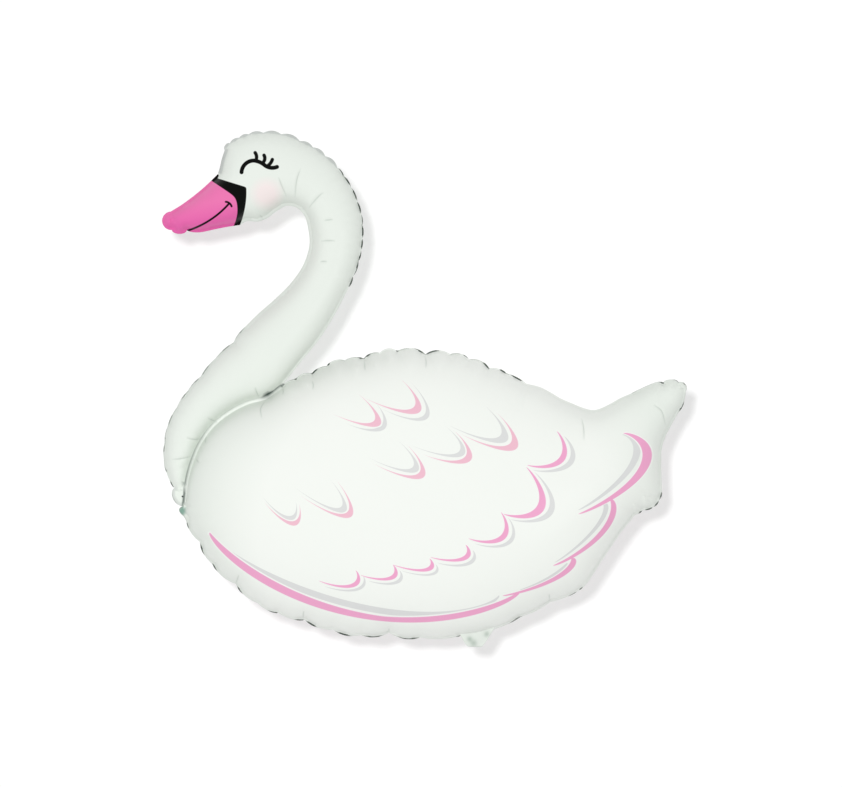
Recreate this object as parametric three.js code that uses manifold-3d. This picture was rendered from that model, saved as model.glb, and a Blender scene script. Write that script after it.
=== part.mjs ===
// A swan foil balloon. Two sheets of printed foil are welded together round the swan's outline and along the
// line where the neck lies against the breast, and the envelope is filled with air. It lies on its back, with
// the seam level: x runs from the beak to the tail, y from the belly to the crown, and z is up.
import * as THREE from "three";
import { mergeVertices } from "three/addons/utils/BufferGeometryUtils.js";
import Module from "manifold-3d";

// Driving dimensions, in millimetres
const SEAM_WIDTH = 4; // flat welded border round the air
const SEAM_THICKNESS = 1.2; // both sheets and the weld between them, thick enough for a solid
const NECK_WELD_WIDTH = 5; // weld line between the neck and the breast
const LARGEST_HALF_DEPTH = 206; // depth that a very wide chamber would swell to on each side of the seam
const CREASE_DEPTH = 5; // groove that runs inwards from each pinch in the seam
const CREASE_REACH = 26; // how fast a groove dies away from the seam
const REST_DEPTH = 6; // how far the back is pressed flat where the balloon lies on it
const TAB_THICKNESS = 1.6; // filling tab and foot flap
const TAB_OVERLAP = 6; // how far a tab runs in over the seam

// Spacing of the mesh, in millimetres
const RIM_STEP = 10; // along the seam
const RING_DEPTHS = [SEAM_WIDTH, 9, 18, 31]; // rows of points that follow the seam inwards
const FIELD_STEP = 21; // lattice in the middle of the chambers

// How far a scallop of the seam rises between two pinches, as a share of its chord
const SCALLOP = { crown: 0.1, breast: 0.05, belly: 0.1, rump: 0.05, tail: 0.09, back: 0.16 };

const vectors = (points) => points.map(([x, y]) => new THREE.Vector2(x, y));

// A smooth stretch of the seam through its points. Each stretch leaves its last point to the next one.
function smooth(points) {
  const curve = new THREE.CatmullRomCurve3(
    points.map(([x, y]) => new THREE.Vector3(x, y, 0)),
    false,
    "centripetal",
  );
  const steps = Math.max(1, Math.round(curve.getLength() / RIM_STEP));
  return curve
    .getSpacedPoints(steps)
    .slice(0, -1)
    .map((p) => ({ point: new THREE.Vector2(p.x, p.y), pinch: 0 }));
}

// A puckered stretch: the seam is pinched in at each point and swells out in a round arc between two of them.
function scalloped(rise, points) {
  const samples = [];
  const pinches = vectors(points);
  for (let i = 0; i + 1 < pinches.length; i++) {
    const chord = pinches[i + 1].clone().sub(pinches[i]);
    const outward = new THREE.Vector2(chord.y, -chord.x);
    const arcLength = chord.length() * (1 + (8 / 3) * rise ** 2);
    const steps = Math.max(2, Math.round(arcLength / RIM_STEP));
    for (let k = 0; k < steps; k++) {
      const t = k / steps;
      const point = pinches[i].clone().addScaledVector(chord, t);
      point.addScaledVector(outward, 4 * rise * t * (1 - t));
      samples.push({ point, pinch: (1 - Math.sin(Math.PI * t)) ** 2 });
    }
  }
  return samples;
}

// Where the neck's weld line starts, at the crook behind the neck, and ends, at the foot of the breast
const CROOK = [-206, 3];
const FOOT = [-352, -171];

// The seam, anticlockwise from the crook: up the nape, over the crown, round the beak, down the throat and
// breast, along the belly and rump, round the tail and back along the back
const seam = [
  ...smooth([CROOK, [-180, 36], [-151, 72], [-128, 109], [-109, 146]]),
  ...scalloped(SCALLOP.crown, [
    [-109, 146], [-99, 174], [-93, 200], [-90, 226], [-92, 252], [-100, 278], [-112, 302], [-126, 320],
    [-143, 336], [-161, 349], [-180, 358], [-207, 368], [-233, 370], [-254, 368], [-268, 363], [-282, 355],
    [-289, 345],
  ]),
  ...smooth([[-289, 345], [-294, 328], [-299, 310], [-320, 290], [-348, 268], [-367, 256]]),
  ...scalloped(0.5, [[-367, 256], [-366, 228]]),
  ...scalloped(0.22, [[-366, 228], [-346, 226]]),
  ...scalloped(0.06, [[-346, 226], [-267, 236]]),
  ...smooth([
    [-267, 236], [-256, 242], [-242, 241], [-228, 246], [-213, 257], [-199, 264], [-184, 261], [-173, 249],
    [-168, 231], [-166, 210], [-170, 191], [-178, 173], [-194, 151], [-216, 129], [-241, 107], [-260, 88],
  ]),
  ...scalloped(SCALLOP.breast, [
    [-260, 88], [-276, 66], [-302, 43], [-323, 17], [-342, -4], [-358, -28], [-371, -54], [-376, -80],
    [-377, -103], [-373, -123], [-360, -146],
  ]),
  ...scalloped(0.05, [[-360, -146], FOOT]),
  ...scalloped(0.2, [FOOT, [-344, -194]]),
  ...scalloped(SCALLOP.belly, [
    [-344, -194], [-325, -223], [-300, -257], [-273, -284], [-241, -312], [-211, -326], [-173, -336],
    [-132, -351], [-91, -359], [-51, -356], [-6, -363], [53, -361],
  ]),
  ...scalloped(SCALLOP.rump, [[53, -361], [96, -352], [139, -332], [183, -310], [222, -295], [239, -280]]),
  ...smooth([[239, -280], [261, -246], [284, -212], [304, -185]]),
  ...scalloped(SCALLOP.tail, [[304, -185], [317, -177], [332, -173], [341, -163], [345, -145]]),
  ...smooth([[345, -145], [344, -107], [345, -87], [350, -71], [358, -55], [368, -36]]),
  ...scalloped(SCALLOP.tail, [[368, -36], [377, -19], [380, 0], [366, 7], [352, 9], [334, 9]]),
  ...smooth([
    [334, 9], [313, 1], [287, -13], [262, -25], [238, -32], [215, -26], [191, -15], [168, -3], [149, 6],
  ]),
  ...scalloped(SCALLOP.back, [
    [149, 6], [119, 22], [94, 29], [65, 42], [38, 49], [3, 47], [-39, 53], [-64, 51], [-87, 42], [-115, 40],
    [-141, 32], [-164, 19], [-186, 13], CROOK,
  ]),
];
const rim = seam.map((sample) => sample.point);

// The weld line down the breast, with the creases that it gathers
const neckWeld = smooth([
  CROOK, [-230, -14], [-255, -21], [-281, -34], [-306, -54], [-325, -80], [-338, -109], [-345, -136], FOOT,
]).map((sample) => sample.point);
neckWeld.push(new THREE.Vector2(...FOOT));

// The filling tab on the belly, where gas goes in and a ribbon is tied, and the flap at the foot of the neck
const TAB_ROOT = vectors([[56, -354], [94, -347]]);
const TAB_TIP = vectors([[85, -376], [60, -376]]);
const FLAP_CENTRE = new THREE.Vector2(-357, -157);
const FLAP_RADII = [9, 11];

const segment = new THREE.Line3();
const nearest = new THREE.Vector3();

function distanceToLine(line, point, closed) {
  const spot = new THREE.Vector3(point.x, point.y, 0);
  let best = Infinity;
  for (let i = closed ? 0 : 1; i < line.length; i++) {
    const from = line[(i + line.length - 1) % line.length];
    segment.start.set(from.x, from.y, 0);
    segment.end.set(line[i].x, line[i].y, 0);
    segment.closestPointToPoint(spot, true, nearest);
    best = Math.min(best, nearest.distanceTo(spot));
  }
  return best;
}

function isInside(loop, point) {
  let inside = false;
  for (let i = 0, j = loop.length - 1; i < loop.length; j = i++) {
    const crosses = loop[i].y > point.y !== loop[j].y > point.y;
    const slope = (loop[j].x - loop[i].x) / (loop[j].y - loop[i].y);
    if (crosses && point.x < loop[i].x + slope * (point.y - loop[i].y)) inside = !inside;
  }
  return inside;
}

// How far a point is from the nearest edge of the air, negative in the welds
const depthInAir = (point) =>
  Math.min(
    distanceToLine(rim, point, true) - SEAM_WIDTH,
    distanceToLine(neckWeld, point, false) - NECK_WELD_WIDTH / 2,
  );

// The points of the mesh in the plane of the seam: the rim, rows that follow it and the neck weld, and a lattice
function planPoints() {
  const points = rim.map((point, i) => ({ point, pinch: seam[i].pinch }));
  const add = (point, pinch, clearance) => {
    if (!isInside(rim, point) || distanceToLine(rim, point, true) < SEAM_WIDTH * 0.9) return;
    if (points.some((other) => other.point.distanceTo(point) < clearance)) return;
    points.push({ point, pinch });
  };
  neckWeld.slice(1, -1).forEach((point) => add(point, 0, RIM_STEP / 3));
  for (const depth of RING_DEPTHS) {
    const clearance = Math.max(SEAM_WIDTH * 0.9, depth * 0.42);
    rim.forEach((point, i) => {
      const along = rim[(i + 1) % rim.length].clone().sub(rim[(i + rim.length - 1) % rim.length]).normalize();
      const spot = point.clone().add(new THREE.Vector2(-along.y, along.x).multiplyScalar(depth));
      if (distanceToLine(rim, spot, true) > depth * 0.85) add(spot, seam[i].pinch, clearance);
    });
    for (const side of [1, -1]) {
      for (let i = 1; i + 1 < neckWeld.length; i++) {
        const along = neckWeld[i + 1].clone().sub(neckWeld[i - 1]).normalize();
        const across = new THREE.Vector2(-along.y, along.x).multiplyScalar(side * depth);
        add(neckWeld[i].clone().add(across), 0, clearance);
      }
    }
  }
  const box = new THREE.Box2().setFromPoints(rim);
  const rowStep = (FIELD_STEP * Math.sqrt(3)) / 2;
  for (let row = 0, y = box.min.y; y < box.max.y; row++, y += rowStep) {
    for (let x = box.min.x + (row % 2) * (FIELD_STEP / 2); x < box.max.x; x += FIELD_STEP) {
      const nudge = new THREE.Vector2(Math.sin(x * 1.7 + y), Math.cos(y * 1.3 - x)).multiplyScalar(0.4);
      add(new THREE.Vector2(x, y).add(nudge), 0, FIELD_STEP * 0.62);
    }
  }
  return points;
}

// Delaunay triangles of points in a plane, by adding them one at a time
function triangulate(points) {
  const far = 1e5;
  const corners = [...points, ...vectors([[-far, -far], [far, -far], [0, far]])];
  const n = points.length;
  const circled = (a, b, c) => {
    const [p, q, r] = [corners[a], corners[b], corners[c]];
    const d = 2 * (p.x * (q.y - r.y) + q.x * (r.y - p.y) + r.x * (p.y - q.y));
    const [pp, qq, rr] = [p.lengthSq(), q.lengthSq(), r.lengthSq()];
    const x = (pp * (q.y - r.y) + qq * (r.y - p.y) + rr * (p.y - q.y)) / d;
    const y = (pp * (r.x - q.x) + qq * (p.x - r.x) + rr * (q.x - p.x)) / d;
    return { a, b, c, x, y, radiusSq: (p.x - x) ** 2 + (p.y - y) ** 2 };
  };
  let triangles = [circled(n, n + 1, n + 2)];
  points.forEach((point, i) => {
    const edges = new Map();
    triangles = triangles.filter((t) => {
      if ((point.x - t.x) ** 2 + (point.y - t.y) ** 2 >= t.radiusSq) return true;
      for (const [from, to] of [[t.a, t.b], [t.b, t.c], [t.c, t.a]]) {
        if (!edges.delete(`${to} ${from}`)) edges.set(`${from} ${to}`, [from, to]);
      }
      return false;
    });
    for (const [from, to] of edges.values()) triangles.push(circled(from, to, i));
  });
  return triangles.map((t) => [t.a, t.b, t.c]).filter((t) => t.every((corner) => corner < n));
}

// Air pressure swells a membrane held at its edges: the membrane's own sag, u, solves a Poisson equation on the
// triangles, and the square root of 2u turns a long tube into a true half circle and a wide pillow into a dome.
function swell(points, triangles) {
  const held = points.map((point) => depthInAir(point) < 0.5);
  const links = points.map(() => new Map());
  const load = new Float64Array(points.length);
  for (const triangle of triangles) {
    const [p, q, r] = triangle.map((i) => points[i]);
    const area = q.clone().sub(p).cross(r.clone().sub(p)) / 2;
    triangle.forEach((i, corner) => {
      const [j, k] = [triangle[(corner + 1) % 3], triangle[(corner + 2) % 3]];
      const [toJ, toK] = [points[j].clone().sub(points[i]), points[k].clone().sub(points[i])];
      const weight = toJ.dot(toK) / (4 * area);
      links[j].set(k, (links[j].get(k) ?? 0) + weight);
      links[k].set(j, (links[k].get(j) ?? 0) + weight);
      load[i] += area / 3;
    });
  }
  const sag = new Float64Array(points.length);
  const relaxation = 1.9;
  for (let round = 0; round < 1200; round++) {
    for (let i = 0; i < points.length; i++) {
      if (held[i]) continue;
      let [sum, total] = [load[i], 0];
      for (const [j, weight] of links[i]) {
        sum += weight * sag[j];
        total += weight;
      }
      sag[i] += relaxation * (sum / total - sag[i]);
    }
  }
  return Array.from(sag, (u) => {
    const round = Math.sqrt(2 * Math.max(u, 0));
    return round / Math.hypot(1, round / LARGEST_HALF_DEPTH);
  });
}

// The envelope: the front sheet above the seam, the back sheet below it, and the seam's edge between them
function envelope() {
  const plan = planPoints();
  const points = plan.map((entry) => entry.point);
  const triangles = triangulate(points).filter((triangle) => {
    const middle = triangle.reduce((sum, i) => sum.add(points[i]), new THREE.Vector2()).divideScalar(3);
    return isInside(rim, middle);
  });
  const heights = swell(points, triangles).map((height, i) => {
    const depth = Math.max(0, depthInAir(points[i]));
    const fade = Math.exp(-depth / CREASE_REACH) * Math.min(1, depth / SEAM_WIDTH);
    return Math.max(0, height - CREASE_DEPTH * plan[i].pinch * fade);
  });
  const lowest = Math.max(...heights) - REST_DEPTH;
  const positions = [];
  points.forEach((p, i) => positions.push(p.x, p.y, SEAM_THICKNESS / 2 + heights[i]));
  points.forEach((p, i) => positions.push(p.x, p.y, -SEAM_THICKNESS / 2 - Math.min(heights[i], lowest)));
  const faces = [];
  const openEdges = new Map();
  const under = points.length;
  for (const [a, b, c] of triangles) {
    faces.push(a, b, c, under + a, under + c, under + b);
    for (const [from, to] of [[a, b], [b, c], [c, a]]) {
      if (!openEdges.delete(`${to} ${from}`)) openEdges.set(`${from} ${to}`, [from, to]);
    }
  }
  for (const [from, to] of openEdges.values()) {
    faces.push(from, under + from, under + to, from, under + to, to);
  }
  const geometry = new THREE.BufferGeometry();
  geometry.setAttribute("position", new THREE.Float32BufferAttribute(positions, 3));
  geometry.setIndex(faces);
  return geometry;
}

// A flat tab of both sheets, in the plane of the seam
function flatTab(shape) {
  const geometry = new THREE.ExtrudeGeometry(shape, {
    depth: TAB_THICKNESS,
    bevelEnabled: false,
    curveSegments: 10,
  });
  return geometry.translate(0, 0, -TAB_THICKNESS / 2);
}

function fillingTab() {
  const inward = new THREE.Vector2(TAB_ROOT[0].y - TAB_ROOT[1].y, TAB_ROOT[1].x - TAB_ROOT[0].x);
  inward.setLength(TAB_OVERLAP);
  const shape = new THREE.Shape();
  shape.moveTo(TAB_ROOT[0].x + inward.x, TAB_ROOT[0].y + inward.y);
  shape.lineTo(TAB_TIP[1].x, TAB_TIP[1].y);
  shape.lineTo(TAB_TIP[0].x, TAB_TIP[0].y);
  shape.lineTo(TAB_ROOT[1].x + inward.x, TAB_ROOT[1].y + inward.y);
  shape.closePath();
  return flatTab(shape);
}

function footFlap() {
  const shape = new THREE.Shape();
  shape.absellipse(FLAP_CENTRE.x, FLAP_CENTRE.y, FLAP_RADII[0], FLAP_RADII[1], 0, Math.PI * 2);
  return flatTab(shape);
}

const wasm = await Module();
wasm.setup();

function solidOf(geometry) {
  geometry.deleteAttribute("normal");
  geometry.deleteAttribute("uv");
  const merged = mergeVertices(geometry);
  return new wasm.Manifold(
    new wasm.Mesh({
      numProp: 3,
      vertProperties: new Float32Array(merged.attributes.position.array),
      triVerts: new Uint32Array(merged.index.array),
    }),
  );
}

function geometryOf(solid) {
  const { vertProperties, triVerts } = solid.getMesh();
  const geometry = new THREE.BufferGeometry();
  geometry.setAttribute("position", new THREE.BufferAttribute(vertProperties, 3));
  geometry.setIndex(new THREE.BufferAttribute(triVerts, 1));
  geometry.computeVertexNormals();
  return geometry;
}

const foil = new THREE.MeshStandardMaterial({ color: 0xf1f5ef, roughness: 0.35, metalness: 0.1 });
const solid = solidOf(envelope()).add(solidOf(fillingTab())).add(solidOf(footFlap()));
const balloon = new THREE.Mesh(geometryOf(solid), foil);
balloon.name = "foil_envelope";

// The origin is under the middle of the balloon, on the surface that it lies on
const box = new THREE.Box3().setFromObject(balloon);
const middle = box.getCenter(new THREE.Vector3());
balloon.position.set(-middle.x, -middle.y, -box.min.z);

const swan = new THREE.Group();
swan.add(balloon);

export default swan;
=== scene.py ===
import bpy
import numpy as np
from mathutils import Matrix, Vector
from mathutils.geometry import delaunay_2d_cdt
from mathutils.kdtree import KDTree


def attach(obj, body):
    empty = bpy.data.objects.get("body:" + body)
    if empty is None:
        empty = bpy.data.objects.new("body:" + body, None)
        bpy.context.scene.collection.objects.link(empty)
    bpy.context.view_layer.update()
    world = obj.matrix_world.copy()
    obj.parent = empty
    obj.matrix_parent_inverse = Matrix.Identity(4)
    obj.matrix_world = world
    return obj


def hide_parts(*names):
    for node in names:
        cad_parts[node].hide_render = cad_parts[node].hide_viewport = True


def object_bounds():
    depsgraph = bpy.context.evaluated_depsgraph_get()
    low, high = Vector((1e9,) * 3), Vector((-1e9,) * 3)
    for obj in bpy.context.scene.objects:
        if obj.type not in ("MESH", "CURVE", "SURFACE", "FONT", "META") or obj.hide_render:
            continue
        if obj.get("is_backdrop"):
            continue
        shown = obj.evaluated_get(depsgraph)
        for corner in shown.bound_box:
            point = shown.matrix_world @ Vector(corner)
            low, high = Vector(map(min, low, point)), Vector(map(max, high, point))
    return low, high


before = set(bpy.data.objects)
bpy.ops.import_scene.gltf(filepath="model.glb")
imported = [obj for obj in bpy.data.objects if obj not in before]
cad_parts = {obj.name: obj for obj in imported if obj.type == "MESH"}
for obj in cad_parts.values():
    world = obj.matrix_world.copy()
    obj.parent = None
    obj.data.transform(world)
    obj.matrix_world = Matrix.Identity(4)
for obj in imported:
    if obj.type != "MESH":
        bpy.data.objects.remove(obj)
cad_low, cad_high = (np.array(corner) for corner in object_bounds())

# The envelope: two sheets of white film cut to one outline and heat-welded together all round it, and
# down one line between the neck and the breast. The air inside draws the seam into scallops, with a
# crease running in from every pinch. Lengths are millimetres on the flat pattern, x to the tail and
# y to the crown.
RIM_STEP = 2.7
LATTICE_STEP = 3.3
CROOK = (-206, 3)
FOOT = (-349, -170.5)
NECK_WELD_WIDTH = 4.0
FLAP_WIDTH = 16
LARGEST_HALF_DEPTH = 206
SEAM_EASE = 3
PINCH_DEPTH = 4.5
PINCH_REACH = 26
REST_DEPTH = 6
HALF_FILM = 0.25


def smooth(points):
    """A fine polyline on a smooth curve through given points."""
    points = np.array(points, float)
    line = np.vstack([2 * points[0] - points[1], points, 2 * points[-1] - points[-2]])
    pieces = []
    t = np.linspace(0, 1, 24, endpoint=False)[:, None]
    for a, b, c, d in zip(line, line[1:], line[2:], line[3:]):
        before, span, after = (np.linalg.norm(v) ** 0.5 for v in (b - a, c - b, d - c))
        leave = ((b - a) / before - (c - a) / (before + span) + (c - b) / span) * span
        arrive = ((c - b) / span - (d - b) / (span + after) + (d - c) / after) * span
        pieces.append(
            (2 * t**3 - 3 * t**2 + 1) * b
            + (t**3 - 2 * t**2 + t) * leave
            + (3 * t**2 - 2 * t**3) * c
            + (t**3 - t**2) * arrive
        )
    pieces.append(points[-1:])
    return np.vstack(pieces)


def even_steps(line, step):
    """Points along a polyline at even steps, its end left out."""
    lengths = np.r_[0, np.cumsum(np.linalg.norm(np.diff(line, axis=0), axis=1))]
    count = max(2, round(lengths[-1] / step))
    at = np.linspace(0, lengths[-1], count, endpoint=False)
    return np.column_stack([np.interp(at, lengths, line[:, k]) for k in (0, 1)])


def plain_seam(points, border=2.4, dark=0.0, grey=0.12, metal=1):
    """A stretch of seam that lies smooth, as rows of x, y, pinch, border width, dark edge, grey border and
    metal edge."""
    line = even_steps(smooth(points), RIM_STEP)
    return np.hstack([line, np.tile([0, border, dark, grey, metal], (len(line), 1))])


ROUND_LOBE = 0.2
ALL_ALONG = [(0.5, 0.5)]
FAINT_EDGE = 0.15


def scalloped_seam(
    points, rise, border=2.4, lobe=0, dark=0.4, grey=0.2, metal=1, pinch=1,
    marks=ALL_ALONG, faint=FAINT_EDGE,
):
    """A stretch of seam that bows out between pinches by that share of each span, its border wider in the
    lobes. A mark is where along a span its edge is darkest, and for how far to each side, in shares of the
    span. Elsewhere the edge is faint."""
    rows = []
    spans = list(zip(points, points[1:]))
    for number, (start, end) in enumerate(spans):
        start, end = np.array(start, float), np.array(end, float)
        middle, half = marks[number % len(marks)]
        height = np.broadcast_to(rise, len(spans))[number]
        chord = end - start
        outward = np.array([chord[1], -chord[0]])
        span = np.linalg.norm(chord) * (1 + 8 / 3 * height**2)
        turn = np.linspace(0, np.pi, max(3, round(span / RIM_STEP)), endpoint=False)
        arch = np.sin(turn)
        if height > ROUND_LOBE:
            t, bow = (1 - np.cos(turn)) / 2, height * arch
        else:
            t = turn / np.pi
            bow = 4 * height * t * (1 - t)
        line = start + t[:, None] * chord + bow[:, None] * outward
        # The edge's darkness is painted shade and a painted dark reflection, darkest at each mark.
        tone = dark * np.clip(1.5 * (1 - abs(t - middle) / half), faint, 1)
        same = np.ones(len(t))
        rows.append(np.column_stack(
            [line, pinch * (1 - arch) ** 2, border + lobe * arch, tone, grey * same, metal * same]
        ))
    return np.vstack(rows)


seam = np.vstack([
    plain_seam([CROOK, (-180, 36), (-151, 72), (-128, 109), (-109, 146)], grey=0.1),
    scalloped_seam(
        [(-109, 146), (-103, 162), (-95, 184), (-91.5, 200), (-89.5, 217), (-89.5, 236), (-91.5, 252.5),
         (-97, 270.5), (-106, 291), (-116, 307), (-126, 320)],
        rise=0.07, border=1, lobe=1.2, dark=1, pinch=0.4, marks=[(0.5, 0.7)],
    ),
    scalloped_seam(
        [(-126, 320), (-143, 336), (-161, 349), (-180, 358), (-207, 368), (-233, 370), (-254, 368),
         (-268, 363), (-281.5, 355), (-289, 345)],
        rise=[0.16] * 8 + [0.3], border=0.8, lobe=2.9, dark=0.2, grey=0.9, pinch=0.3,
    ),
    plain_seam([(-289, 345), (-293.5, 331), (-296.5, 318), (-299, 310)], border=4, dark=0.2, grey=1),
    plain_seam([(-299, 310), (-320, 290), (-348, 268), (-367, 256)], grey=0, metal=0),
    scalloped_seam([(-367, 256), (-365.5, 229)], rise=0.5, grey=0, metal=0),
    scalloped_seam([(-365.5, 229), (-344, 228.5)], rise=0.25, grey=0, metal=0),
    plain_seam(
        [(-344, 228.5), (-338, 226.4), (-326, 225.6), (-300, 230.8), (-283, 234), (-267, 236.3)],
        grey=0, metal=0,
    ),
    plain_seam([
        (-267, 236.3), (-256, 242), (-242, 241), (-228, 246), (-213, 257), (-199, 264), (-184, 261),
        (-173, 249), (-168, 231), (-166, 210), (-170, 191), (-178, 173), (-194, 151), (-216, 129),
        (-241, 107), (-260, 88),
    ], border=4, grey=0.15),
    scalloped_seam(
        [(-260, 88), (-276, 66), (-302, 43), (-323, 17), (-342, -4), (-358, -28), (-371, -54), (-376, -80),
         (-377, -103), (-373, -123)],
        rise=0.05, border=2.8, dark=0.65, grey=0.3, pinch=0.1,
        marks=[(0.5, 0.6), (0.4, 0.4), (0.7, 0.5)], faint=0.6,
    ),
    scalloped_seam([(-373, -123), (-362, -145)], rise=0.05, dark=1, pinch=0.3, marks=[(0.85, 0.45)]),
    scalloped_seam([(-362, -145), FOOT], rise=0.3, border=FLAP_WIDTH, dark=0.5, grey=0.6, pinch=0),
    plain_seam(
        [FOOT, (-355, -175.5), (-353.5, -181), (-347.5, -187), (-344, -194)], border=5, dark=0.4, grey=0,
    ),
    scalloped_seam(
        [(-344, -194), (-325, -223), (-306, -256), (-273, -284), (-241, -312), (-211, -326), (-173, -336),
         (-132, -350.5), (-91, -358.5), (-51, -355), (-6, -362), (53, -359)],
        rise=[0.1] * 10 + [0.06], dark=1, pinch=0.6,
        marks=[(0.15, 0.2), (0.3, 0.3), (0.1, 0.2), (0.25, 0.2), (0.8, 0.35), (0.85, 0.3), (0.25, 0.3),
               (0.4, 0.4), (0.45, 0.45), (0.65, 0.45), (0.97, 0.1)],
    ),
    scalloped_seam(
        [(53, -359), (96, -351), (139, -332), (183, -310), (222, -295), (239, -280)],
        rise=0.05, dark=0.8, pinch=0.4, marks=[(0, 0.1), (0.85, 0.35), (0, 0.1), (0.85, 0.25), (0.3, 0.2)],
    ),
    plain_seam([(239, -280), (261, -246), (284, -212), (306, -184)]),
    scalloped_seam(
        [(306, -184), (317, -177), (332, -173), (341, -163), (345, -145)],
        rise=0.09, dark=0.9, marks=[(0.8, 0.6), (0.6, 0.6), (0.5, 0.6), (0.4, 0.4)],
    ),
    plain_seam([(345, -145), (344, -107), (345, -87), (350, -71), (358, -55), (368, -37)]),
    scalloped_seam([(368, -37), (379.5, -5)], rise=0.08, dark=1, pinch=0.3, marks=[(0.35, 0.35)]),
    scalloped_seam([(379.5, -5), (368.5, 8)], rise=0.36, dark=0.6, pinch=0.6),
    scalloped_seam([(368.5, 8), (347, 7.4)], rise=0.22, dark=0.7, pinch=0.6, marks=[(0.1, 0.4)]),
    scalloped_seam([(347, 7.4), (330, 6)], rise=0.12, dark=1, pinch=0.6, marks=[(0.05, 0.5)]),
    plain_seam([(330, 6), (318, 0.7), (298.7, -8.6)], dark=0.35),
    plain_seam([
        (298.7, -8.6), (284, -15), (270, -23), (256, -29.5), (245, -32), (233, -29.5), (213, -21.5),
        (198, -15), (183, -6), (168, 1.5), (148, 6.5),
    ]),
    scalloped_seam(
        [(148, 6.5), (119, 21.5), (94, 28.5), (65, 41.5), (38, 49), (2.3, 48.6), (-39, 53.5), (-64, 51),
         (-87, 42), (-115, 40), (-141, 32), (-162, 21), (-186, 13), CROOK],
        rise=[0.04, 0.12, 0.16, 0.16, 0.16, 0.16, 0.2, 0.16, 0.13, 0.16, 0.11, 0.16, 0.1],
        border=1.6, dark=1, pinch=0.8,
        marks=[(0.5, 0.5), (0.2, 0.3), (0.15, 0.3), (0.2, 0.25), (0.75, 0.45), (0.25, 0.3), (0, 0.12),
               (0.85, 0.5), (0.1, 0.3), (0.9, 0.2), (0.85, 0.45), (0, 0.05), (0, 0.05)],
        faint=0.4,
    ),
])
rim = seam[:, :2]
rim_pinch, rim_border, rim_dark, rim_grey, rim_metal = seam[:, 2:].T
weld_line = smooth([
    CROOK, (-230, -14), (-255, -21), (-281, -34), (-306, -54), (-325, -80), (-337.5, -109), (-344, -134),
    (-346.5, -154), FOOT,
])
neck_weld = np.vstack([even_steps(weld_line, RIM_STEP), FOOT])

# The creases that the air leaves besides those at the pinches: each runs in from the seam and dies out.
CREASE_DEPTH = 1.4
CREASE_HALF_WIDTH = 2.6
CREASES = [
    [(-178, 319), (-184, 302), (-187, 276)], [(-145, 284), (-154, 276), (-167, 261)],
    [(-131, 244), (-138, 243.5), (-145, 242.5)], [(-128, 213), (-138, 213.5), (-149, 213)],
    [(-140, 183), (-146, 183.5), (-151, 183)], [(-211, 306), (-206, 293), (-200, 279)],
    [(-239, 251), (-235.5, 248), (-233, 245)],
    [(-253, 246.5), (-248, 244), (-243, 243.5)], [(-361, -147), (-355, -149), (-349, -147)],
    [(-231, -20), (-236.5, -29.5), (-235, -44)], [(-314, -43), (-306, -47), (-300, -49)],
    [(-345, -72), (-334, -74.5), (-322, -73.5)], [(-366, -103.5), (-352, -102.5), (-338, -99.5)],
    [(-245, 2), (-242.5, -6), (-239, -14)], [(-205, 0), (-204, -5), (-205, -10)],
    [(-315, -70.5), (-317, -75), (-316.5, -80)], [(-331, -102), (-328, -106), (-326, -109)],
    [(-162, 11), (-160.5, 4), (-161, -2)], [(-87, 40), (-86, 33), (-85.5, 25)], [(2, 46), (3, 38), (2.5, 29)],
    [(228, -43), (231, -58), (231.5, -76)], [(332, -24), (344, -33), (350, -55)],
    [(-268, -270), (-270, -276), (-273, -283)], [(-174, -322), (-175, -328), (-175, -334)],
    [(-51, -348), (-51, -350), (-51, -353)], [(181, -298), (181.5, -302), (182, -307)],
]


def nearest_on(line, spots):
    """How far each spot is from a polyline, and the number of the polyline's nearest point."""
    finder = KDTree(len(line))
    for number, point in enumerate(line):
        finder.insert((*point, 0), number)
    finder.balance()
    number = np.array([finder.find((*spot, 0))[1] for spot in spots])
    gap = np.full(len(spots), np.inf)
    for first in (number - 1, number):
        first = np.clip(first, 0, len(line) - 2)
        start, along = line[first], line[first + 1] - line[first]
        share = np.clip(((spots - start) * along).sum(1) / (along**2).sum(1), 0, 1)
        gap = np.minimum(gap, np.linalg.norm(spots - start - share[:, None] * along, axis=1))
    return gap, number


def within(loop, spots):
    """Whether each spot is inside a closed outline."""
    x, y = spots.T
    result = np.zeros(len(spots), bool)
    for (ax, ay), (bx, by) in zip(loop, np.roll(loop, -1, 0)):
        if ay != by:
            result ^= ((ay > y) != (by > y)) & (x < ax + (y - ay) * (bx - ax) / (by - ay))
    return result


def air_depth(spots):
    """How far each spot lies in from the welds, its distances from the rim and the weld, and the numbers of
    their nearest points."""
    from_rim, number = nearest_on(np.vstack([rim[-1:], rim, rim[:1]]), spots)
    number = (number - 1) % len(rim)
    from_weld, weld_number = nearest_on(neck_weld, spots)
    depth = np.minimum(from_rim - rim_border[number], from_weld - NECK_WELD_WIDTH / 2)
    return depth, from_rim, from_weld, number, weld_number


# Spots on the flat pattern: rows that follow the welds, closer together towards them, then an even lattice.
AIR_ROWS = [0.35 * k**2 for k in range(1, 8)]
FLAP_STEP = 2.0
ahead = np.roll(rim, -1, 0) - np.roll(rim, 1, 0)
inward = np.column_stack([-ahead[:, 1], ahead[:, 0]]) / np.linalg.norm(ahead, axis=1)[:, None]
weld_ahead = np.gradient(neck_weld, axis=0)
weld_side = np.column_stack([-weld_ahead[:, 1], weld_ahead[:, 0]])
weld_side /= np.linalg.norm(weld_side, axis=1)[:, None]
rows = [(rim + share * rim_border[:, None] * inward, -1) for share in (0.5, 1)]
rows += [(rim + (rim_border[:, None] + depth) * inward, depth) for depth in AIR_ROWS]
rows += [(neck_weld, -1)]
for side in (-1, 1):
    for depth in [0] + AIR_ROWS[:6]:
        rows.append((neck_weld + side * (NECK_WELD_WIDTH / 2 + depth) * weld_side, depth))
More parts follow.
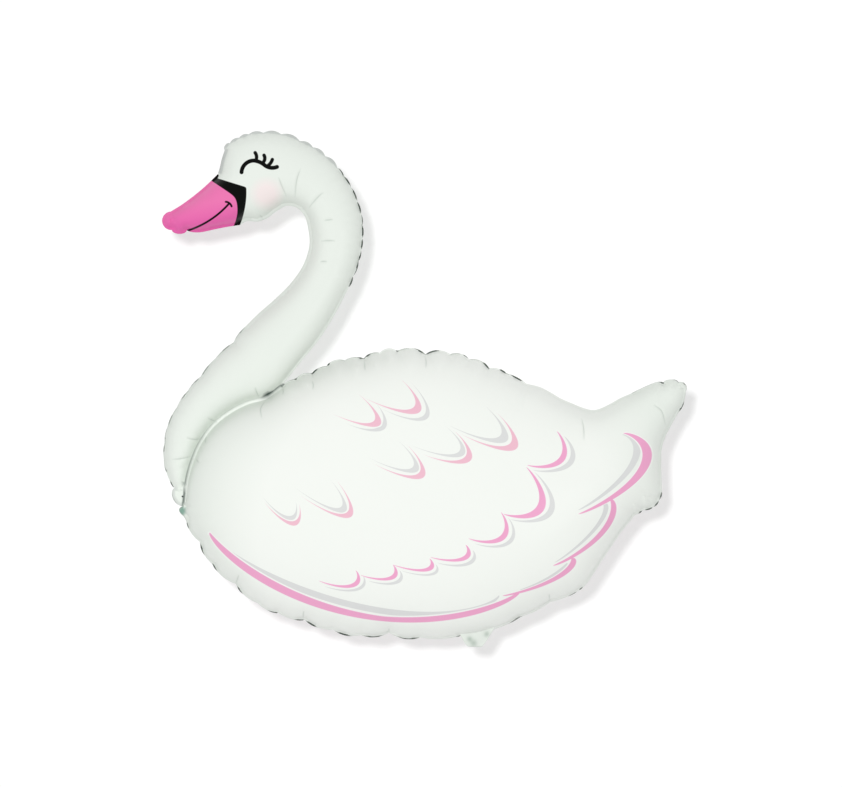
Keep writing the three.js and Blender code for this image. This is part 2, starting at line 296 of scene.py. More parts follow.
for points in CREASES:
    line = even_steps(smooth(points), 1.6)
    run = np.gradient(line, axis=0)
    across = np.column_stack([-run[:, 1], run[:, 0]]) / np.linalg.norm(run, axis=1)[:, None]
    for offset in (0, -1, 1, -CREASE_HALF_WIDTH, CREASE_HALF_WIDTH):
        rows.append((line + offset * across, 0))
flap_x, flap_y = np.meshgrid(np.arange(-370, -346, FLAP_STEP), np.arange(-172, -142, FLAP_STEP))
rows.append((np.column_stack([flap_x.ravel(), flap_y.ravel()]), -2 * FLAP_WIDTH))
low, high = rim.min(0), rim.max(0)
lattice_x, lattice_y = np.meshgrid(
    np.arange(low[0], high[0], LATTICE_STEP), np.arange(low[1], high[1], LATTICE_STEP * 0.75**0.5)
)
lattice_x[1::2] += LATTICE_STEP / 2
lattice = np.column_stack([lattice_x.ravel(), lattice_y.ravel()])
row_spots = np.vstack([spots for spots, _ in rows])
row_depth = np.concatenate([np.full(len(spots), depth) for spots, depth in rows])
row_spots, row_depth = (values[within(rim, row_spots)] for values in (row_spots, row_depth))
depth, from_rim = air_depth(row_spots)[:2]
row_spots = row_spots[(depth > 0.93 * row_depth - 0.02) & (from_rim > 0.3)]
taken = {}
for spot in np.vstack([rim, row_spots]):
    taken.setdefault(tuple(np.round(spot / 0.5).astype(int)), spot)
rim_keys = {tuple(np.round(spot / 0.5).astype(int)) for spot in rim}
row_spots = np.array([spot for key, spot in taken.items() if key not in rim_keys])
lattice = lattice[within(rim, lattice)]
lattice = lattice[air_depth(lattice)[0] > 5]
tree = KDTree(len(row_spots))
for k, spot in enumerate(row_spots):
    tree.insert((*spot, 0), k)
tree.balance()
clear = np.array([tree.find((*spot, 0))[2] for spot in lattice]) > 0.55 * LATTICE_STEP
spots = np.vstack([rim, row_spots, lattice[clear]])

rim_count = len(rim)
rim_edges = [(k, (k + 1) % rim_count) for k in range(rim_count)]
placed, _, cells, _, _, _ = delaunay_2d_cdt([Vector(spot) for spot in spots], rim_edges, [], 0, 1e-5)
spots = np.array([tuple(spot) for spot in placed])
cells = np.array(cells)
cells = cells[within(rim, spots[cells].mean(1))]
depth, from_rim, from_weld, number, weld_number = air_depth(spots)
is_rim = np.arange(len(spots)) < rim_count
held = (depth <= 1e-3) | is_rim


def sag(spots, cells, held):
    """The sag of an evenly loaded membrane that is held at some of its spots."""
    near, far, weight = [], [], []
    load = np.zeros(len(spots))
    a, b, c = (spots[cells[:, k]] for k in range(3))
    area = ((b - a)[:, 0] * (c - a)[:, 1] - (b - a)[:, 1] * (c - a)[:, 0]) / 2
    for k in range(3):
        i, j, opposite = cells[:, k], cells[:, (k + 1) % 3], cells[:, (k + 2) % 3]
        np.add.at(load, i, area / 3)
        pull = ((spots[i] - spots[opposite]) * (spots[j] - spots[opposite])).sum(1) / (4 * area)
        near += [i, j]
        far += [j, i]
        weight += [pull, pull]
    near, far, weight = (np.concatenate(part) for part in (near, far, weight))
    stiffness = np.bincount(near, weight, len(spots))

    def residue(shape):
        force = stiffness * shape - np.bincount(near, weight * shape[far], len(spots))
        force[held] = 0
        return force

    shape = np.zeros(len(spots))
    error = np.where(held, 0, load)
    step = error / stiffness
    energy = error @ step
    for _ in range(3000):
        pulled = residue(step)
        length = energy / (step @ pulled)
        shape += length * step
        error = error - length * pulled
        if abs(error).max() < 1e-7 * load.max():
            break
        eased = error / stiffness
        renewed = error @ eased
        step = eased + renewed / energy * step
        energy = renewed
    return shape


roundness = np.sqrt(2 * np.maximum(sag(spots, cells, held), 0))
height = roundness / np.sqrt(1 + (roundness / LARGEST_HALF_DEPTH) ** 2)
air = np.maximum(depth, 0)
height *= 1 - np.exp(-air / SEAM_EASE)
groove = PINCH_DEPTH * rim_pinch[number] * np.exp(-air / PINCH_REACH) * np.minimum(1, air / 4)
painted_shade = np.zeros(len(spots))
for points in CREASES:
    line = smooth(points)
    close = (abs(spots - line[len(line) // 2]) < np.ptp(line, axis=0) + 2 * CREASE_HALF_WIDTH).all(1)
    off, along = nearest_on(line, spots[close])
    fade = np.sin(np.pi * np.clip(along / len(line), 0, 1)) ** 0.7
    groove[close] += CREASE_DEPTH * fade * np.maximum(0, 1 - off / CREASE_HALF_WIDTH) ** 1.4
    # A thin darker line of painted shade along each crease.
    painted_shade[close] = np.maximum(painted_shade[close], fade * np.maximum(0, 1 - off / 1.3))
height = np.where(held, 0, np.maximum(height - groove, 0.3 * height))

# The welded border stands a little wavy.
WAVE = 0.9
rim_length = np.r_[0, np.cumsum(np.linalg.norm(np.diff(rim, axis=0), axis=1))]
out = np.clip(1 - from_rim / rim_border[number], 0, 1) * (depth <= 0)
wave = WAVE * out * (np.sin(rim_length[number] / 4.1) + np.sin(rim_length[number] / 6.7 + 1)) / 2

# The pattern laid in the frame: its middle over the origin, its seam half way up but for the resting spot.
TAB_TIP_Y = -376
pattern_low = np.array([low[0], min(low[1], TAB_TIP_Y)])
shift = (cad_low[:2] + cad_high[:2]) / 2 * 1000 - (pattern_low + high) / 2
seam_level = (cad_high[2] - cad_low[2]) * 500 - REST_DEPTH / 2
deepest = seam_level - HALF_FILM
front = np.column_stack([spots + shift, seam_level + HALF_FILM + height + wave])
back = np.column_stack([spots + shift, seam_level - HALF_FILM - np.minimum(height, deepest) + wave])
count = len(spots)
edge = np.arange(rim_count)
after = np.roll(edge, -1)
faces = np.vstack([
    cells,
    cells[:, ::-1] + count,
    np.column_stack([edge, edge + count, after + count]),
    np.column_stack([edge, after + count, after]),
])


def mesh_piece(name, points, faces, values=None):
    """A smooth mesh object from points in millimetres, with named values at its points."""
    mesh = bpy.data.meshes.new(name)
    mesh.from_pydata((np.asarray(points) / 1000).tolist(), [], np.asarray(faces).tolist())
    mesh.shade_smooth()
    for label, numbers in (values or {}).items():
        attribute = mesh.attributes.new(label, "FLOAT", "POINT")
        attribute.data.foreach_set("value", np.asarray(numbers, np.float32))
    piece = bpy.data.objects.new(name, mesh)
    bpy.context.scene.collection.objects.link(piece)
    return piece


# How the film looks at the welds: grey where the border is bare, that grey set per stretch and partly painted
# shade; along the neck weld painted shade in the deep ends and on the neck's side, a painted highlight on the
# breast's side between, and a wider blot of painted shade near the crook.
WIDEST_BARE_BORDER = 4
WELD_SHARES = [0, 0.1, 0.16, 0.45, 0.6, 0.8, 0.93, 1]
WELD_PAINTED_SHADE = [1, 1, 0.3, 0.35, 0.6, 0.85, 1, 0.8]
WELD_PAINTED_HIGHLIGHT = [0, 0, 1, 1, 0.35, 0.15, 0.1, 0]
BLOT_SHARES = [0.06, 0.09, 0.12, 0.15]
BLOT_NARROWING = [1, 0.5, 0.5, 1]
# The bare border's grey, set per stretch of the seam, is partly painted shade.
bare_border = np.clip(1 - (from_rim - np.minimum(rim_border[number], WIDEST_BARE_BORDER)) / 0.8, 0, 1)
bare_border *= (from_weld > from_rim) * rim_grey[number]
weld_share = weld_number / (len(neck_weld) - 1)
weld_offset = ((spots - neck_weld[weld_number]) * weld_side[weld_number]).sum(1)
weld_offset *= np.interp(weld_share, BLOT_SHARES, BLOT_NARROWING)
by_weld = (from_weld < from_rim + 4) * (from_weld < 12)
# Painted shade along the neck weld: its deep ends and the neck's side, widest in the blot near the crook.
weld_painted_shade = by_weld * np.interp(weld_share, WELD_SHARES, WELD_PAINTED_SHADE)
weld_painted_shade = weld_painted_shade * np.interp(weld_offset, [-3.4, -1.7, 0.2, 1.1], [0, 1, 1, 0])
# Painted highlight along the neck weld, on the breast's side.
weld_painted_highlight = by_weld * np.interp(weld_share, WELD_SHARES, WELD_PAINTED_HIGHLIGHT)
weld_painted_highlight = weld_painted_highlight * np.interp(weld_offset, [-0.6, 0.4, 2.4, 3.2], [0, 1, 1, 0])
# A dark green patch of painted shade in the fold at the foot.
FOOT_FOLD = (-351.5, -179)
FOOT_FOLD_RADII = (6, 8)
foot_fold_shade = np.clip(1.3 - ((spots - FOOT_FOLD) ** 2 / np.square(FOOT_FOLD_RADII)).sum(1), 0, 1) * (depth < 3)
envelope = mesh_piece(
    "swan_envelope",
    np.vstack([front, back]),
    faces,
    {
        "border": np.tile(bare_border, 2),
        "weld_painted_shade": np.tile(weld_painted_shade, 2),
        "weld_painted_highlight": np.tile(weld_painted_highlight, 2),
        "painted_shade": np.tile(painted_shade, 2),
        "foot_fold_shade": np.tile(foot_fold_shade, 2),
    },
)


class Paint:
    """A socket of a film's shader. Arithmetic on it adds Math nodes to the same material."""

    def __init__(self, tree, socket=None):
        self.tree = tree
        self.socket = socket

    def node(self, kind, settings=None, inputs=None, output=0):
        """A node of that type, its settings made first, then values or links on its sockets."""
        made = self.tree.nodes.new(kind)
        for name, value in (settings or {}).items():
            setattr(made, name, value)
        for name, value in (inputs or {}).items():
            if isinstance(value, Paint):
                self.tree.links.new(value.socket, made.inputs[name])
            else:
                made.inputs[name].default_value = value
        return Paint(self.tree, made.outputs[output] if made.outputs else None)

    def math(self, operation, *values, clamp=False):
        settings = {"operation": operation, "use_clamp": clamp}
        return self.node("ShaderNodeMath", settings, dict(enumerate(values)))

    def __add__(self, other):
        return self.math("ADD", self, other)

    __radd__ = __add__

    def __sub__(self, other):
        return self.math("SUBTRACT", self, other)

    def __rsub__(self, other):
        return self.math("SUBTRACT", other, self)

    def __mul__(self, other):
        return self.math("MULTIPLY", self, other)

    __rmul__ = __mul__

    def __pow__(self, other):
        return self.math("POWER", self, other)

    def __neg__(self):
        return self.math("MULTIPLY", self, -1)

    def __abs__(self):
        return self.math("ABSOLUTE", self)

    def least(self, other):
        return self.math("MINIMUM", self, other)

    def most(self, other):
        return self.math("MAXIMUM", self, other)

    def edge(self, softness):
        """From 0 to 1 as the value passes zero."""
        return self.math("MULTIPLY_ADD", self, 1 / softness, 0.5, clamp=True)

    def dot(self, direction):
        vector = (*direction, 0) if len(direction) == 2 else tuple(direction)
        return self.node("ShaderNodeVectorMath", {"operation": "DOT_PRODUCT"}, {0: self, 1: vector}, "Value")


def crescent(spot, fullness, left, right, turn, thickness, skew=0):
    """How far inside a printed crescent a spot is. Its tips are left and right, its outer edge at turn. The
    lower its fullness, the further it keeps its thickness towards the tips, and skew thickens its left end."""
    left, right, turn = (np.array(point, float) for point in (left, right, turn))
    middle = (left + right) / 2
    reach = np.linalg.norm(turn - middle)
    to_along, to_out = np.linalg.inv(np.column_stack([(right - left) / 2, turn - middle]))
    along = spot.dot(to_along) - to_along @ middle
    out = spot.dot(to_out) - to_out @ middle
    room = 1 - along * along
    crown = room.most(0) ** 0.75
    inner = crown - crown**fullness * (1 - along * skew) * (thickness / reach)
    inside = (crown - out).least(out - inner) * reach
    return inside.least(room * (np.linalg.norm(right - left) / 4))


def round_through(first, second, third):
    """The centre and radius of the circle through three points."""
    first, second, third = (np.array(point, float) for point in (first, second, third))
    sides = np.array([second - first, third - first]) * 2
    centre = np.linalg.solve(sides, [second @ second - first @ first, third @ third - first @ first])
    return centre, np.linalg.norm(first - centre)


def disc(spot, first, second, third):
    """How far inside the circle through three points a spot is."""
    centre, radius = round_through(first, second, third)
    offset = spot.node("ShaderNodeVectorMath", {"operation": "SUBTRACT"}, {0: spot, 1: (*centre, 0)})
    flat = offset.node("ShaderNodeVectorMath", {"operation": "MULTIPLY"}, {0: offset, 1: (1, 1, 0)})
    return radius - flat.node("ShaderNodeVectorMath", {"operation": "LENGTH"}, {0: flat}, "Value")


def below(spot, left, right):
    """How far below the line from left to right a spot is."""
    run = np.subtract(right, left).astype(float)
    down = np.array([run[1], -run[0]]) / np.linalg.norm(run)
    return spot.dot(down) - down @ left


def stroke(spot, first, second, third, width):
    """How far inside a round-ended line on an arc through three points a spot is."""
    centre, radius = round_through(first, second, third)
    first, second, third = (np.array(point, float) - centre for point in (first, second, third))
    middle = second / np.linalg.norm(second)
    half_chord = np.linalg.norm(third - first) / 2
    facing = ((first + third) / 2) @ middle
    bisector = (first + third) / np.linalg.norm(first + third) * np.sign(facing)
    side = np.array([-bisector[1], bisector[0]])
    end_up = abs(facing)
    up = spot.dot(bisector) - bisector @ centre
    across = abs(spot.dot(side) - side @ centre)
    to_arc = abs((up * up + across * across) ** 0.5 - radius)
    to_end = ((up - end_up) * (up - end_up) + (across - half_chord) * (across - half_chord)) ** 0.5
    on_arc = (up * half_chord - across * end_up).edge(0.01)
    return width / 2 - (to_end + (to_arc - to_end) * on_arc)


# The print: ice-grey and pink crescents for the feathers, in rows and along the hem, the pink over the grey
# with a white line round it, and the face. Tips, outer turn, thickness and skew of each crescent.
PALE_FEATHERS = [
    ((-132, -37), (-96, -8), (-64, -54), 10.9), ((-88, -13), (-35, 14), (-8, -36), 11.6),
    ((-75, -108), (-26, -81), (-2, -130), 9.6), ((-3, -95), (42, -61), (66, -106), 9.9),
    ((51, -65), (104, -35), (132, -89), 12.3), ((-231, -164), (-181, -167), (-189, -199), 7.0),
    ((-180, -154), (-128, -132), (-107, -187), 9.0),
]
ROSE_FEATHERS = [
    ((-152, -279), (-98, -264), (-102, -288), 6.8), ((-91, -271), (-44, -256), (-46, -277), 6.8),
    ((-44, -256), (9, -247), (5, -265), 7.2), ((10, -245), (61, -227), (59, -249), 7.4),
    ((65, -218), (112, -180), (116, -219), 8), ((116, -183), (149, -115), (174, -175), 11.5),
    ((150, -112), (193, -63), (202, -106), 8.4), ((-311, -211), (139, -296), (-99, -332), 8.5, 0.9),
]
ROSE_HEM = [
    ((227, -182), (291, -65), (325, -115), 15, 0.15), ((189, -257), (272, -161), (262, -210), 9.6),
    ((116, -301), (217, -246), (195, -276.5), 10.5), ((-311, -211), (139, -296), (-99, -332), 6.2, -0.9),
]
GREY_WING = [
    ((-112, -51), (-70, -22), (-58, -60), 7.5), ((-62, -29), (-20, 9), (5, -44), 7.2),
    ((-81, -100), (-39, -75), (-10, -121), 9.7), ((-20, -82), (29, -54), (56, -98), 9.0),
    ((33, -52), (86, -24), (118, -78), 12.8), ((-234, -156), (-186, -163), (-194, -191), 6.7),
    ((-189, -142), (-137, -131), (-116, -180), 9.9),
]
GREY_SKIRT = [
    ((-143, -287), (-88, -272), (-96, -293), 4.9), ((-80, -279), (-35, -264), (-39, -283), 5.5),
    ((-33, -264), (17, -255), (11, -271), 4.6), ((20, -253), (71, -235), (65, -256), 5.8),
    ((74, -225), (122, -188), (125, -225), 5.8), ((125, -190), (160, -122), (187, -180), 8.7),
    ((158, -119), (203, -70), (214, -111), 8.1),
]
GREY_HEM = [
    ((226, -176), (289, -67), (307, -110), 12, 0.15), ((191, -252), (261, -165), (253, -201), 8.7),
    ((139, -293), (208, -254), (180, -277), 4.4), ((-285, -235), (109, -301), (-70, -325.5), 10, 0.35),
]
LID = [
    ((-264.3, 312.5), (-258.1, 325.1), (-246.5, 329.4)), ((-246.5, 329.4), (-238.5, 327.4), (-230.6, 322.6)),
    ((-230.6, 322.6), (-221.9, 319), (-212.9, 320.2)),
]
LASHES = [
    ((-244.6, 340.8), (-242.6, 335.7), (-243.2, 330.6)), ((-231.7, 337.1), (-230.6, 332.1), (-233.5, 326.3)),
    ((-219.7, 330.9), (-221.9, 326.3), (-225.5, 322.5)),
]
MOUTH = [
    ((-342.2, 228.4), (-308.9, 244.2), (-282.8, 266.8)), ((-287.1, 269.7), (-282.3, 268), (-278.8, 263.2)),
]
LID_WIDTH = 5.9
LASH_WIDTH = 5.2
MOUTH_WIDTH = 3.0
WHITE_LINE = 2.2
INK_EDGE = 0.7
UNSHADED_BODY = [(-290, -220), (330, -220), (20, 90)]
BEAK_TIP_X = -310
BEAK_FLOOR_Y = 200


def printed_film():
    """White satin film with a cool green cast, printed with the swan's face and feathers, with painted
    shade on the neck and head, the bare border, the neck weld, the creases, the foot and the tab, and a painted
    highlight along the neck weld.
    """
    material = bpy.data.materials.new("printed film")
    material.use_nodes = True
    tree = material.node_tree
    tree.nodes.clear()
    start = Paint(tree)
    place = start.node("ShaderNodeTexCoord", output="Object")
    origin = (*(-shift), -seam_level)
    to_pattern = {0: place, 1: (1000,) * 3, 2: origin}
    spot = place.node("ShaderNodeVectorMath", {"operation": "MULTIPLY_ADD"}, to_pattern)
    front_side = spot.dot((0, 0, 1)).edge(1)

    def all_of(crescents, fullness):
        ink = None
        for shape in crescents:
            part = crescent(spot, fullness, *shape)
            ink = part if ink is None else ink.most(part)
        return ink

    pale = all_of(PALE_FEATHERS, 1)
    rose = all_of(ROSE_FEATHERS, 0.4).most(all_of(ROSE_HEM, 0.3))
    grey_wing = all_of(GREY_WING, 1)
    grey_skirt = all_of(GREY_SKIRT, 0.5).most(all_of(GREY_HEM, 0.3))
    cloud = start.node("ShaderNodeTexNoise", inputs={"Vector": place, "Scale": 9, "Detail": 2})
    border, weld_painted_shade, weld_painted_highlight, painted_shade, foot_fold_shade = (
        start.node("ShaderNodeAttribute", {"attribute_name": name}, output="Fac")
        for name in ("border", "weld_painted_shade", "weld_painted_highlight", "painted_shade", "foot_fold_shade")
    )
    black = (0.003, 0.0035, 0.003, 1)
    ice_grey = (0.655, 0.665, 0.66, 1)
    white, cool = (0.83, 0.853, 0.817, 1), (0.815, 0.844, 0.802, 1)
    film = start.node("ShaderNodeMix", {"data_type": "RGBA"}, {0: cloud, 6: white, 7: cool}, 2)
    # Painted shade: the film darker and greener outside a wide disc over the body's middle, on the neck and
    # head.
    outlying_shade = 1 - disc(spot, *UNSHADED_BODY).edge(100)

    def laid(colour, share, under):
        return start.node("ShaderNodeMix", {"data_type": "RGBA"}, {0: share, 6: under, 7: colour}, 2)

    film = laid((0.742, 0.785, 0.735, 1), outlying_shade, film)
    # Bare border grey, partly painted shade.
    film = laid((0.56, 0.59, 0.57, 1), border, film)
    # The neck weld's painted highlight, then its painted shade.
    film = laid((0.95, 0.97, 0.94, 1), weld_painted_highlight, film)
    film = laid((0.03, 0.055, 0.045, 1), weld_painted_shade * 0.95, film)
    # Painted shade in the fold at the foot.
    film = laid((0.2, 0.36, 0.29, 1), foot_fold_shade * 0.9, film)
    # Painted shade along the creases and on the filling tab.
    film = laid((0.42, 0.48, 0.43, 1), painted_shade * 0.6, film)
    blush = disc(spot, (-247, 281), (-209, 281), (-228, 300)).edge(16)
    film = laid((0.83, 0.745, 0.735, 1), blush, film)
    film = laid(ice_grey, grey_wing.edge(INK_EDGE) * front_side, film)
    film = laid(ice_grey, grey_skirt.edge(INK_EDGE), film)
    film = laid(white, (pale + WHITE_LINE).edge(INK_EDGE) * front_side, film)
    film = laid(white, (rose + WHITE_LINE).edge(INK_EDGE), film)
    film = laid((0.79, 0.475, 0.57, 1), pale.edge(INK_EDGE) * front_side, film)
    film = laid((0.79, 0.36, 0.56, 1), rose.edge(INK_EDGE), film)
    mask = disc(spot, (-257.2, 281.3), (-259.1, 262.5), (-266.8, 236.6))
    mask = mask.math("SMOOTH_MIN", mask, below(spot, (-298.7, 303.8), (-262.5, 292.5)), 4)
    beak = disc(spot, (-272.6, 273.3), (-270.4, 259.6), (-275.9, 235.6))
    beak = beak.math("SMOOTH_MIN", beak, below(spot, (-302.3, 296.5), (-279.9, 281.3)), 7)
    beak = beak.most((spot.dot((-1, 0)) + BEAK_TIP_X).least(spot.dot((0, 1)) - BEAK_FLOOR_Y))
    knob = stroke(spot, (-302.8, 300.9), (-301.7, 304.5), (-300.2, 308), 5.2)
    film = laid(black, mask.edge(INK_EDGE), film)
    # Painted shade: the beak's pink darker towards its lower edge.
    beak_lower_shade = below(spot, (-352, 250), (-270, 262)).edge(26)
    pink = laid((0.73, 0.126, 0.385, 1), beak_lower_shade, (0.77, 0.174, 0.412, 1))
    film = laid(pink, beak.edge(INK_EDGE), film)
    lines = None
    for points in LID:
        part = stroke(spot, *points, LID_WIDTH)
        lines = part if lines is None else lines.most(part)
    for points in LASHES:
        lines = lines.most(stroke(spot, *points, LASH_WIDTH))
    for points in MOUTH:
        lines = lines.most(stroke(spot, *points, MOUTH_WIDTH))
    # The small black disc on the flap is painted shade of a small hole.
    speck = disc(spot, (-351.4, -157.3), (-349, -157.3), (-350.2, -156.1))
    lines = lines.most(speck).most(knob)
    film = laid(black, lines.edge(INK_EDGE), film)
    bare = 1 - lines.most(mask.least(-beak)).edge(INK_EDGE)

    grain = start.node("ShaderNodeTexNoise", inputs={"Vector": place, "Scale": 260, "Detail": 3})
    slack = start.node("ShaderNodeTexNoise", inputs={"Vector": place, "Scale": 26, "Detail": 2})
    relief = grain * 0.12 + slack * 0.9
    bump = start.node("ShaderNodeBump", inputs={"Strength": 0.25, "Distance": 0.0012, "Height": relief})
    surface = start.node("ShaderNodeBsdfPrincipled", inputs={
        "Base Color": film,
        "Roughness": 0.33 + cloud * 0.14 - border * 0.1,
        "Metallic": border * 0.15,
        "Coat Weight": (0.06 + cloud * 0.06) * bare,
        "Coat Roughness": 0.16,
        "Specular IOR Level": 0.07,
        "Normal": bump,
    })
    start.node("ShaderNodeOutputMaterial", inputs={"Surface": surface})
    return material


film = printed_film()
envelope.data.materials.append(film)
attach(envelope, "root")
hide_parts("foil_envelope")

# The cut edge: the metal side of both sheets shows along the border. Its fine dark line, mostly at the pinches,
# is painted shade and a painted dark reflection where the border curls away from the light. Flat strips follow
# those stretches of the outline.
EDGE_WIDTH = 2.1
EDGE_THICKNESS = 0.8
FAINTEST_EDGE = 0.06


def edge_metal_and_shade():
    """Bare metal side of the film: dull silver, with painted shade and a painted dark reflection in the folds.
    """
    material = bpy.data.materials.new("cut edge")
    material.use_nodes = True
    tree = material.node_tree
    tree.nodes.clear()
    start = Paint(tree)
    place = start.node("ShaderNodeTexCoord", output="Object")
    dark = start.node("ShaderNodeAttribute", {"attribute_name": "dark"}, output="Fac")
    speck = start.node("ShaderNodeTexNoise", inputs={"Vector": place, "Scale": 130, "Detail": 3})
    share = dark * (0.75 + speck * 0.5)
    pale, deep = (0.74, 0.78, 0.73, 1), (0.05, 0.068, 0.055, 1)
    # The deep colour is painted shade and a painted dark reflection on the pale metal.
    colour = start.node("ShaderNodeMix", {"data_type": "RGBA"}, {0: share, 6: pale, 7: deep}, 2)
    surface = start.node("ShaderNodeBsdfPrincipled", inputs={
        "Base Color": colour, "Roughness": 0.3 + speck * 0.15, "Metallic": 0.25,
    })
    start.node("ShaderNodeOutputMaterial", inputs={"Surface": surface})
    return material


def edge_tree(material):
    """Flat strips along stretches of the outline, of given width and thickness."""
    tree = bpy.data.node_groups.new("cut edge", "GeometryNodeTree")
    tree.interface.new_socket("Geometry", in_out="INPUT", socket_type="NodeSocketGeometry")
    sizes = [
        tree.interface.new_socket(name, in_out="INPUT", socket_type="NodeSocketFloat")
        for name in ("Width", "Thickness")
    ]
    tree.interface.new_socket("Geometry", in_out="OUTPUT", socket_type="NodeSocketGeometry")
    given = tree.nodes.new("NodeGroupInput")
    path = tree.nodes.new("GeometryNodeMeshToCurve")
    section = tree.nodes.new("GeometryNodeCurvePrimitiveQuadrilateral")
    breadth = tree.nodes.new("GeometryNodeInputNamedAttribute")
    breadth.inputs["Name"].default_value = "breadth"
    strip = tree.nodes.new("GeometryNodeCurveToMesh")
    strip.inputs["Fill Caps"].default_value = True
    whole = tree.nodes.new("GeometryNodeRealizeInstances")
    finish = tree.nodes.new("GeometryNodeSetMaterial")
    result = tree.nodes.new("NodeGroupOutput")
    finish.inputs["Material"].default_value = material
    link = tree.links.new
    link(given.outputs["Geometry"], path.inputs["Mesh"])
    link(given.outputs["Width"], section.inputs["Width"])
    link(given.outputs["Thickness"], section.inputs["Height"])
    link(path.outputs["Curve"], strip.inputs["Curve"])
    link(section.outputs["Curve"], strip.inputs["Profile Curve"])
    link(breadth.outputs["Attribute"], strip.inputs["Scale"])
    link(strip.outputs["Mesh"], whole.inputs["Geometry"])
    link(whole.outputs["Geometry"], finish.inputs["Geometry"])
    link(finish.outputs["Geometry"], result.inputs["Geometry"])
    return tree, sizes


edge_line = np.column_stack([rim + 0.4 * inward + shift, seam_level + wave[:rim_count]])
edge_path = bpy.data.meshes.new("edge path")
shown = (rim_metal > 0) & (rim_dark > FAINTEST_EDGE)
metal_edges = [(a, b) for a, b in rim_edges if shown[a] and shown[b]]
edge_path.from_pydata((edge_line / 1000).tolist(), metal_edges, [])
for label, numbers in (("dark", rim_dark), ("breadth", 0.25 + 0.75 * rim_dark)):
    edge_path.attributes.new(label, "FLOAT", "POINT").data.foreach_set("value", numbers.astype(np.float32))
guide = bpy.data.objects.new("edge guide", edge_path)
bpy.context.scene.collection.objects.link(guide)
metal = edge_metal_and_shade()
strip_tree, strip_sizes = edge_tree(metal)
modifier = guide.modifiers.new("strip", "NODES")
modifier.node_group = strip_tree
for socket, size in zip(strip_sizes, (EDGE_WIDTH, EDGE_THICKNESS)):
    modifier[socket.identifier] = size / 1000
evaluated = guide.evaluated_get(bpy.context.evaluated_depsgraph_get())
edge_mesh = bpy.data.meshes.new_from_object(evaluated)
bpy.data.objects.remove(guide)
cut_edge = bpy.data.objects.new("cut_edge", edge_mesh)
bpy.context.scene.collection.objects.link(cut_edge)
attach(cut_edge, "root")
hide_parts("foil_envelope")

# The filling tab: a tongue of the same two sheets below the belly, cut in one with the envelope. Its sides
# are welded and the filling channel runs between them, so it is a little fuller down the middle, and crumpled.
TAB_ROOT = [(47, -350), (114, -333)]
TAB_TIP = [(61, -375), (86, -376)]
TAB_ACROSS = 30
TAB_ALONG = 18
TAB_CORNER = 2.5
CHANNEL_HALF_WIDTH = 0.22
CHANNEL_FULLNESS = 1.8
TAB_CRUMPLE = 1.1
TAB_SHADE = 0.6
TAB_FOLDS = [((66, -364), 4), ((72, -370), 5), ((91, -357), 4)]
u, v = (part.ravel() for part in np.meshgrid(np.linspace(0, 1, TAB_ACROSS), np.linspace(0, 1, TAB_ALONG)))
side = abs(2 * u - 1)
root, tip = (np.outer(1 - u, left) + np.outer(u, right) for left, right in (TAB_ROOT, TAB_TIP))
tab_spots = root + (tip - root) * np.column_stack([v**0.85, v])
tab_spots[:, 1] += TAB_CORNER * v**6 * side**8
channel = np.exp(-(((u - 0.45) / CHANNEL_HALF_WIDTH) ** 2))
half_thickness = HALF_FILM + CHANNEL_FULLNESS * channel * (1 - v**2)
crumple = TAB_CRUMPLE * v * (np.sin(9 * u + 4 * v) + np.sin(5 * u - 7 * v)) / 2
# Painted shade on the tab: darker all over where it lies in the belly's shade, and darker spots at its folds.
tab_fold_shade = sum(np.exp(-((tab_spots - spot) ** 2).sum(1) / radius**2) for spot, radius in TAB_FOLDS)
tab_layers = [
    np.column_stack([tab_spots + shift, seam_level + crumple + side_of_film * half_thickness])
    for side_of_film in (1, -1)
]
number = np.arange(len(u)).reshape(TAB_ALONG, TAB_ACROSS)
a, b, c, d = (part.ravel() for part in (number[:-1, :-1], number[1:, :-1], number[1:, 1:], number[:-1, 1:]))
border = np.concatenate([number[:-1, 0], number[-1, :-1], number[:0:-1, -1], number[0, :0:-1]])
onward = np.roll(border, -1)
tab_faces = np.vstack([
    np.column_stack([a, b, c, d]),
    np.column_stack([d, c, b, a]) + len(u),
    np.column_stack([onward, border, border + len(u), onward + len(u)]),
])
tab = mesh_piece("filling_tab", np.vstack(tab_layers), tab_faces, {"painted_shade": np.tile(TAB_SHADE + tab_fold_shade, 2)})
tab.data.materials.append(film)
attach(tab, "root")
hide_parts("foil_envelope")

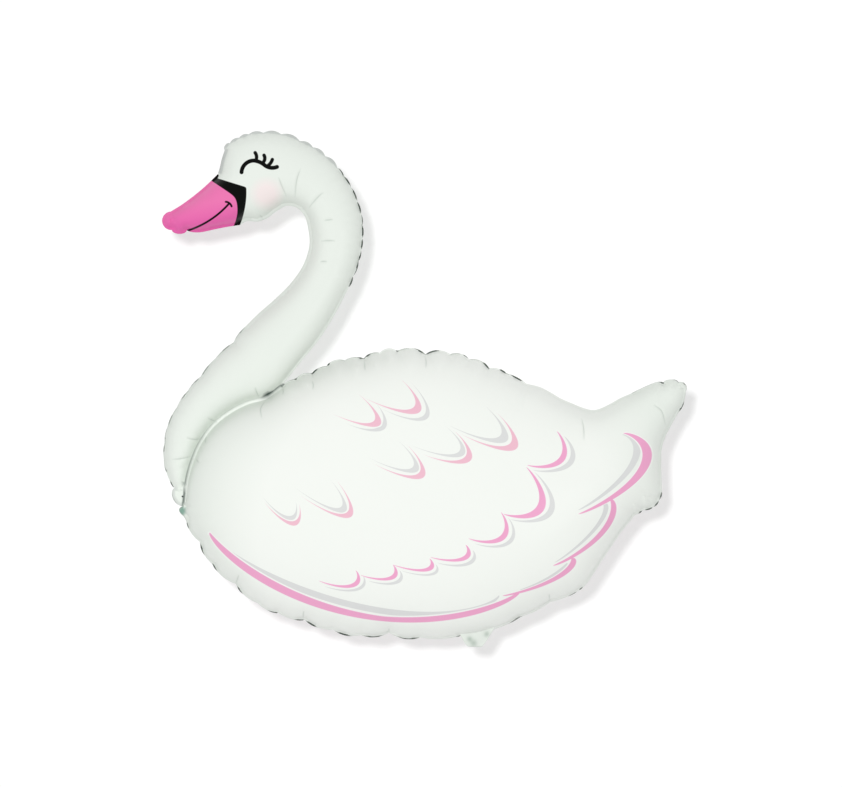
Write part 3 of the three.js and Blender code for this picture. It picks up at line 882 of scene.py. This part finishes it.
# The studio: a pale table lit evenly from above, one soft sun from the upper left for the shadow, and three
# weaker lights without shadows that fill the slopes to the right, the lower left and the top.
TABLE_HALF = 15.0
TABLE_LEVEL = -0.0005
table_mesh = bpy.data.meshes.new("table")
table_corners = [(x * TABLE_HALF, y * TABLE_HALF, TABLE_LEVEL) for x, y in ((-1, -1), (1, -1), (1, 1), (-1, 1))]
table_mesh.from_pydata(table_corners, [], [(0, 1, 2, 3)])
table = bpy.data.objects.new("table", table_mesh)
bpy.context.scene.collection.objects.link(table)
pale = bpy.data.materials.new("pale table")
pale.use_nodes = True
shader = pale.node_tree.nodes["Principled BSDF"]
shader.inputs["Base Color"].default_value = (0.66, 0.66, 0.66, 1)
shader.inputs["Roughness"].default_value = 0.9
shader.inputs["Specular IOR Level"].default_value = 0
shader.inputs["Emission Color"].default_value = (1, 1, 1, 1)
shader.inputs["Emission Strength"].default_value = 0.29
table_mesh.materials.append(pale)
table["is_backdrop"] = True

world = bpy.data.worlds.new("studio")
bpy.context.scene.world = world
world.use_nodes = True
world.node_tree.nodes["Background"].inputs["Color"].default_value = (1, 1, 1, 1)
world.node_tree.nodes["Background"].inputs["Strength"].default_value = 0.51
for name, strength, spread, heading, shadow in (
    ("sun", 1.36, 6, (0.12, -0.12, -1), True),
    ("right fill", 0.52, 25, (-0.5, 0.2, -0.8), False),
    ("left fill", 0.34, 40, (0.75, 0.5, -0.3), False),
    ("top fill", 0.2, 40, (0.1, -0.9, -0.3), False),
):
    light = bpy.data.lights.new(name, "SUN")
    light.energy = strength
    light.angle = np.radians(spread)
    light.use_shadow = shadow
    lamp = bpy.data.objects.new(name, light)
    bpy.context.scene.collection.objects.link(lamp)
    lamp.visible_glossy = not shadow
    lamp.rotation_euler = Vector(heading).to_track_quat("-Z", "Y").to_euler()
bpy.context.scene.view_settings.view_transform = "Standard"

# The camera looks straight down from far off, as flat as the photograph.
PHOTO_WIDTH = 842
PIXEL = 1.45
PHOTO_MIDDLE = (-4.35, -7.98)
camera_data = bpy.data.cameras.new("camera")
camera_data.sensor_width = 36
camera_data.lens = 1200
camera = bpy.data.objects.new("camera", camera_data)
bpy.context.scene.collection.objects.link(camera)
distance = PHOTO_WIDTH * PIXEL / camera_data.sensor_width * camera_data.lens
camera.location = Vector((*(np.array(PHOTO_MIDDLE) + shift), seam_level + distance)) / 1000
camera_data.clip_end = 100
bpy.context.scene.camera = camera

bpy.context.view_layer.update()
